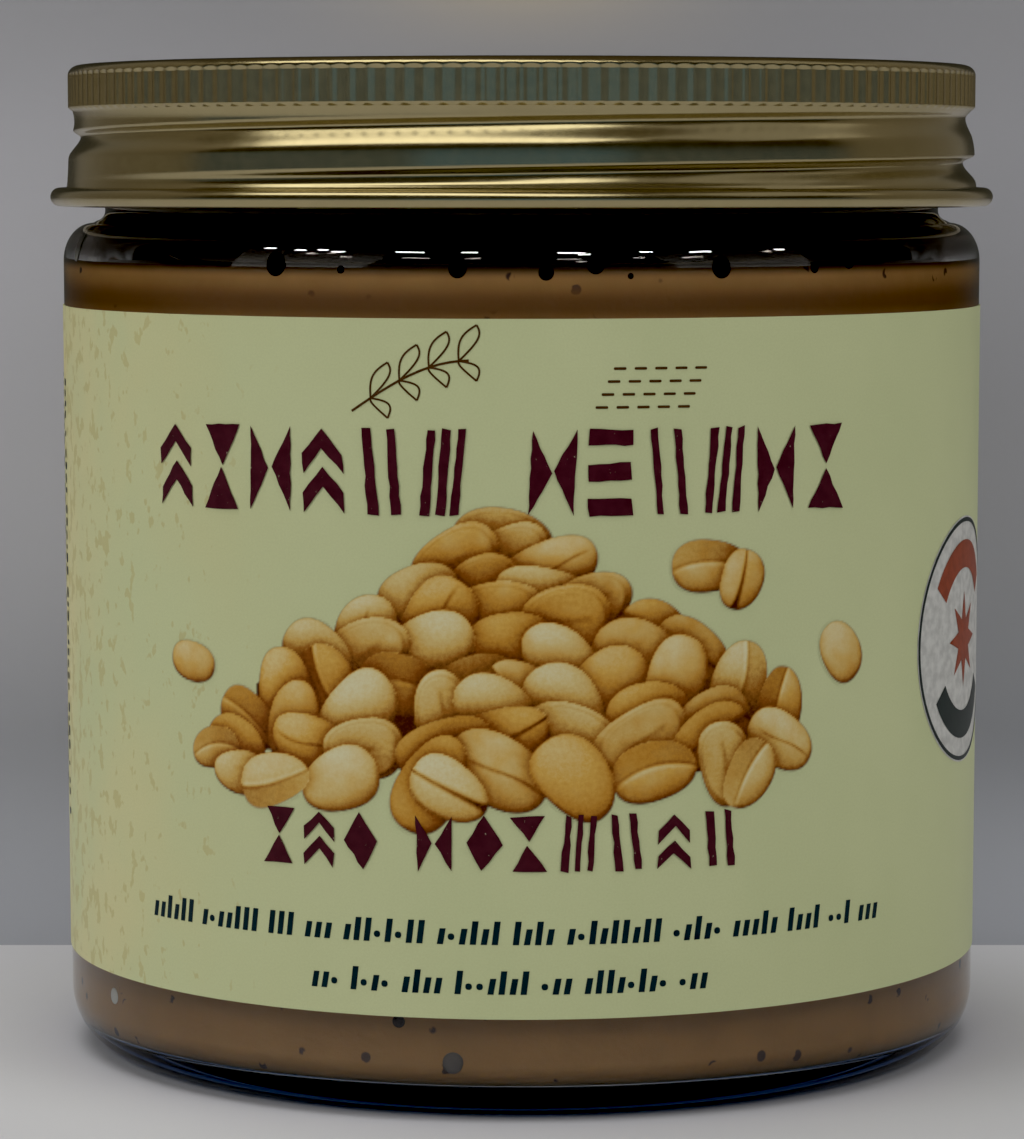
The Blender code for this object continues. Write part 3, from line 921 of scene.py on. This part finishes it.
def make_lid():
    """The lid as one pressed sheet, with its grip, its rolled thread and its curled foot."""
    corner_centre = (LID_RADIUS - LID_CORNER_WIDTH, LID_TOP - LID_CORNER_HEIGHT)
    corner = (LID_CORNER_WIDTH, LID_CORNER_HEIGHT)
    inner_corner = (LID_CORNER_WIDTH - LID_SHEET, LID_CORNER_HEIGHT - LID_SHEET)
    panel_top = LID_TOP - TOP_PANEL_DEPTH
    step = 0.8
    curl_centre = (CURL_REACH - CURL_RADIUS, LID_FOOT + CURL_RADIUS)
    skirt_foot = LID_FOOT + 2.0 * CURL_RADIUS + 0.05
    skirt_head = GRIP_FOOT - 0.3
    skirt_rows = 46
    flare = 0.2
    skirt = []
    for i in range(skirt_rows + 1):
        share = i / skirt_rows
        height = skirt_head + (skirt_foot - skirt_head) * share
        skirt.append((skirt_radius(height) + flare * share ** 4, height))

    # Out over the top, round the corner and down the outside
    rows = [(0.0, panel_top), (TOP_PANEL_RADIUS - 0.3, panel_top)]
    for t in (0.0, 0.25, 0.5, 0.75, 1.0):
        ease = 3 * t * t - 2 * t ** 3
        rows.append((TOP_PANEL_RADIUS + step * t, panel_top + TOP_PANEL_DEPTH * ease))
    rows += arc(corner_centre, corner, 90.0, 0.0, 10)
    grip_rises = (3.15, 1.3, 0.34, 0.26, 0.20, 0.1, 0.0, -0.08, -0.16)
    rows += [(LID_RADIUS, GRIP_FOOT + rise) for rise in grip_rises]
    rows += skirt
    outside = len(rows)
    # Round the curl and back up the inside
    rows += arc(curl_centre, (CURL_RADIUS, CURL_RADIUS), 84.0, -150.0, 12)
    rows += [(r - LID_SHEET, z) for r, z in reversed(skirt[::5])]
    rows += arc(corner_centre, inner_corner, 0.0, 90.0, 4)
    rows += [(TOP_PANEL_RADIUS + step, LID_TOP - LID_SHEET),
             (TOP_PANEL_RADIUS, panel_top - LID_SHEET), (0.0, panel_top - LID_SHEET)]

    def shape(row, radius, height, turn):
        on_corner_or_grip = radius > LID_RADIUS - LID_CORNER_WIDTH - 0.01 and height > GRIP_FOOT - 0.18
        if row < outside and on_corner_or_grip:
            run_out = 0.35
            fade = min(1.0, max(0.0, (GRIP_TOP - height) / run_out))
            radius -= (LID_RADIUS - grip_radius(turn, height)) * fade
        # The thread fades out under the grip and above the curl
        room = min((GRIP_FOOT - 0.1 - height) / 0.6, (height - skirt_foot) / 0.4)
        if room > 0.0:
            radius -= thread_inset(turn, height) * min(1.0, room)
        return radius, height

    mesh = turned_mesh("lid", rows, 6 * GRIP_PANELS, shape, 60.0)
    return new_piece("lid_gold", mesh, lid_material(), "lid")


# The studio

def stage_piece(name, verts, faces, material):
    """Add a piece of the studio, which isn't part of the jar."""
    mesh = bpy.data.meshes.new(name)
    mesh.from_pydata(verts, [], faces)
    mesh.shade_smooth()
    mesh.materials.append(material)
    piece = bpy.data.objects.new(name, mesh)
    bpy.context.scene.collection.objects.link(piece)
    return piece


def floor_material():
    """A pale floor, with painted light making it a little paler towards the back."""
    material, tree, shader = new_material("pale_floor")
    # Painted light: paler towards the back
    back = grey(tree, split_axes(tree, object_coords(tree))["Y"], -0.05, 0.045)
    tone = mix(tree, back, (0.605, 0.605, 0.63), (0.63, 0.63, 0.655))
    tree.links.new(tone, shader.inputs["Base Color"])
    shader.inputs["Roughness"].default_value = 0.6
    return material


def backdrop_material():
    """A grey backdrop with painted light and shade, which shows only from the front and casts no shadow.
    """
    material, tree, shader = new_material("grey_backdrop")
    axes = split_axes(tree, object_coords(tree))
    off_middle = maths(tree, "ABSOLUTE", axes["X"], 0.0)
    # Painted light and shade: lighter at the left, darker at the right
    tone = mix(tree, grey(tree, axes["X"], -0.07, 0.06), (0.54, 0.54, 0.58), (0.42, 0.42, 0.45))
    # Painted glow: a warm patch of light at the top middle, light thrown by the gold lid
    painted_glow = maths(tree, "MULTIPLY", grey(tree, axes["Z"], 0.095, 0.115),
                 grey(tree, off_middle, 0.0, 0.035, 1.0, 0.0))
    tone = mix(tree, painted_glow, tone, (0.72, 0.60, 0.38))
    # Painted shade: darker at the foot, behind the jar
    low = grey(tree, axes["Z"], 0.0, 0.055, 1.0, 0.0)
    tone = mix(tree, low, tone, (0.34, 0.35, 0.385))
    # Painted shade: darker higher up, outside the painted glow
    high = grey(tree, axes["Z"], 0.07, 0.12)
    tone = mix(tree, maths(tree, "SUBTRACT", high, painted_glow), tone, (0.36, 0.36, 0.375))
    # Painted shade: darker out of the picture at both sides, where only the glass shows it
    far_side = grey(tree, off_middle, 0.066, 0.13)
    tone = mix(tree, far_side, tone, (0.36, 0.36, 0.37))
    tree.links.new(tone, shader.inputs["Base Color"])
    shader.inputs["Roughness"].default_value = 0.8
    clear = tree.nodes.new("ShaderNodeBsdfTransparent")
    side = tree.nodes.new("ShaderNodeNewGeometry")
    path = tree.nodes.new("ShaderNodeLightPath")
    hidden = maths(tree, "MAXIMUM", side.outputs["Backfacing"], path.outputs["Is Shadow Ray"])
    blend = tree.nodes.new("ShaderNodeMixShader")
    tree.links.new(hidden, blend.inputs["Fac"])
    tree.links.new(shader.outputs["BSDF"], blend.inputs[1])
    tree.links.new(clear.outputs["BSDF"], blend.inputs[2])
    tree.links.new(blend.outputs["Shader"], tree.nodes["Material Output"].inputs["Surface"])
    return material


def make_studio():
    """A pale floor, with a plain grey backdrop close behind the jar that curves up from it."""
    half = 2.0
    corners = [(-half, -half, 0), (half, -half, 0), (half, half, 0), (-half, half, 0)]
    stage_piece("floor", corners, [(0, 1, 2, 3)], floor_material())

    wall_y, bend, width, height = 0.065, 0.021, 0.8, 0.16
    lift = 0.0003
    bend_steps = 8
    profile = []
    for k in range(bend_steps + 1):
        angle = radians(90.0 * k / bend_steps)
        profile.append((wall_y - bend + bend * sin(angle), lift + bend * (1.0 - cos(angle))))
    profile.append((wall_y, height))
    verts = [(x, y, z) for y, z in profile for x in (-0.5 * width, 0.5 * width)]
    faces = [(2 * k, 2 * k + 1, 2 * k + 3, 2 * k + 2) for k in range(len(profile) - 1)]
    backdrop = stage_piece("backdrop", verts, faces, backdrop_material())
    backdrop.visible_glossy = False


def area_light(name, place, target, size, energy, color=(1.0, 1.0, 1.0), seen_by="all"):
    """A rectangular light; seen_by keeps it to matte surfaces or to glossy ones."""
    data = bpy.data.lights.new(name, "AREA")
    data.shape = "RECTANGLE"
    data.size, data.size_y = size
    data.energy = energy
    data.color = color
    light = bpy.data.objects.new(name, data)
    light.location = place
    light.rotation_euler = (Vector(target) - Vector(place)).to_track_quat("-Z", "Y").to_euler()
    light.visible_glossy = seen_by != "matte"
    light.visible_diffuse = seen_by != "glossy"
    bpy.context.scene.collection.objects.link(light)
    return light


def only_on(lights, piece):
    """Let lights fall on one piece alone."""
    receivers = bpy.data.collections.new(piece.name + "_only")
    receivers.objects.link(piece)
    for light in lights:
        light.light_linking.receiver_collection = receivers


def make_soft_lights():
    """The soft light that falls on matte surfaces from the front, both sides and above."""
    middle = (0.0, 0.0, 0.05)
    for name, place, size, energy in (
            ("front_soft", (-0.12, -1.00, 0.62), (2.4, 0.7), 2.0),
            ("left_soft", (-0.95, -0.52, 0.62), (0.8, 0.8), 4.6),
            ("right_soft", (0.95, -0.52, 0.62), (0.8, 0.8), 3.6),
            ("top_soft", (-0.10, -0.10, 1.15), (1.4, 0.6), 7.0)):
        area_light(name, place, middle, size, energy, seen_by="matte")


def make_lid_lights(lid):
    """What the lid reflects: a long window above, a faint one at its right and panels round about."""
    target = (0.0, 0.0, 0.09)
    window, white = (1.0, 0.99, 0.94), (1.0, 1.0, 1.0)
    lights = [
        area_light("lid_gloss", (-0.28, -0.42, 1.03), target, (1.5, 0.45), 4.9, window, "glossy"),
        area_light("right_sheen", (0.72, -0.10, 0.86), target, (0.8, 0.6), 0.45, white, "glossy")]
    blue, pale, warm = (0.26, 0.56, 1.0), (0.34, 0.50, 0.72), (0.92, 0.86, 0.78)
    # Degrees round from the front, width, height, strength, colour
    panels = (
        (0.0, 1.0, 0.26, 0.25, blue), (-58.0, 1.1, 0.26, 0.19, pale), (58.0, 1.1, 0.26, 0.19, pale),
        (-118.0, 1.2, 1.0, 0.62, warm), (118.0, 1.2, 1.0, 0.68, warm))
    for azimuth_deg, width, height, energy, color in panels:
        azimuth = radians(azimuth_deg)
        middle_height = 0.01 + 0.5 * height
        place = (sin(azimuth), -cos(azimuth), middle_height)
        target = (0.0, 0.0, middle_height)
        lights.append(area_light("lid_horizon", place, target, (width, height), energy, color, "glossy"))
    only_on(lights, lid)


def make_glint_lamps(glass):
    """Small lamps that glint on the glass shoulder."""
    target = (0.0, 0.0, 0.08)
    lamp_height, watts_per_metre = 0.03, 9.0
    # Degrees round from the front, elevation in degrees, width in metres
    lamps = (
        (-73.0, 37.0, 0.05), (-62.0, 36.0, 0.05), (-56.0, 38.0, 0.04), (-50.0, 35.0, 0.05),
        (-30.0, 37.0, 0.11), (-14.0, 38.0, 0.06), (13.0, 37.0, 0.10), (16.0, 33.0, 0.05),
        (34.0, 37.0, 0.05), (49.0, 35.0, 0.09), (73.0, 34.0, 0.04))
    lights = []
    for azimuth_deg, rise_deg, width in lamps:
        azimuth, rise = radians(azimuth_deg), radians(rise_deg)
        place = (sin(azimuth) * cos(rise), -cos(azimuth) * cos(rise), target[2] + sin(rise))
        energy = watts_per_metre * width
        lights.append(area_light("lamp", place, target, (width, lamp_height), energy, seen_by="glossy"))
    only_on(lights, glass)


def make_world():
    """A dark room, a little lighter overhead and browner at the sides."""
    world = bpy.data.worlds.new("studio")
    world.use_nodes = True
    tree = world.node_tree
    coords = tree.nodes.new("ShaderNodeTexCoord")
    axes = split_axes(tree, coords.outputs["Generated"])
    rise = grey(tree, axes["Z"], -0.2, 1.0)
    overhead = (0.10, 0.085, 0.07)
    front = ramp(tree, rise, [(0.0, (0.06, 0.06, 0.055)), (0.2, (0.04, 0.04, 0.035)),
                              (0.5, (0.04, 0.04, 0.035)), (1.0, overhead)])
    side = ramp(tree, rise, [(0.0, (0.03, 0.025, 0.02)), (0.3, (0.028, 0.022, 0.016)), (1.0, overhead)])
    across = maths(tree, "ABSOLUTE", axes["X"], 0.0)
    sky = mix(tree, grey(tree, across, 0.45, 0.85), front, side)
    tree.links.new(sky, tree.nodes["Background"].inputs["Color"])
    bpy.context.scene.world = world


def make_camera():
    """The photograph's camera, and a view with slightly deepened blacks."""
    data = bpy.data.cameras.new("camera")
    long_side = max(PHOTO_WIDTH, PHOTO_HEIGHT)
    data.sensor_width = SENSOR_MM
    data.lens = FOCAL_PIXELS * SENSOR_MM / long_side
    data.shift_x = (0.5 * PHOTO_WIDTH - AXIS_PIXEL_X) / long_side
    data.shift_y = (OPTICAL_PIXEL_Y - 0.5 * PHOTO_HEIGHT) / long_side
    camera = bpy.data.objects.new("camera", data)
    camera.location = (0.0, -CAMERA_DISTANCE, CAMERA_HEIGHT)
    camera.rotation_euler = (radians(90.0 - CAMERA_PITCH_DEG), 0.0, 0.0)
    bpy.context.scene.collection.objects.link(camera)
    bpy.context.scene.camera = camera
    view = bpy.context.scene.view_settings
    black = 0.012
    view.view_transform = "Standard"
    view.use_curve_mapping = True
    view.curve_mapping.black_level = (black, black, black)
    view.curve_mapping.update()


make_camera()
make_studio()
glass = make_glass()
make_butter()
make_bubbles()
make_label()
make_titles()
make_small_lines()
make_flourishes()
make_badge()
make_kernel_heap()
lid = make_lid()
make_soft_lights()
make_lid_lights(lid)
make_glint_lamps(glass)
make_world()
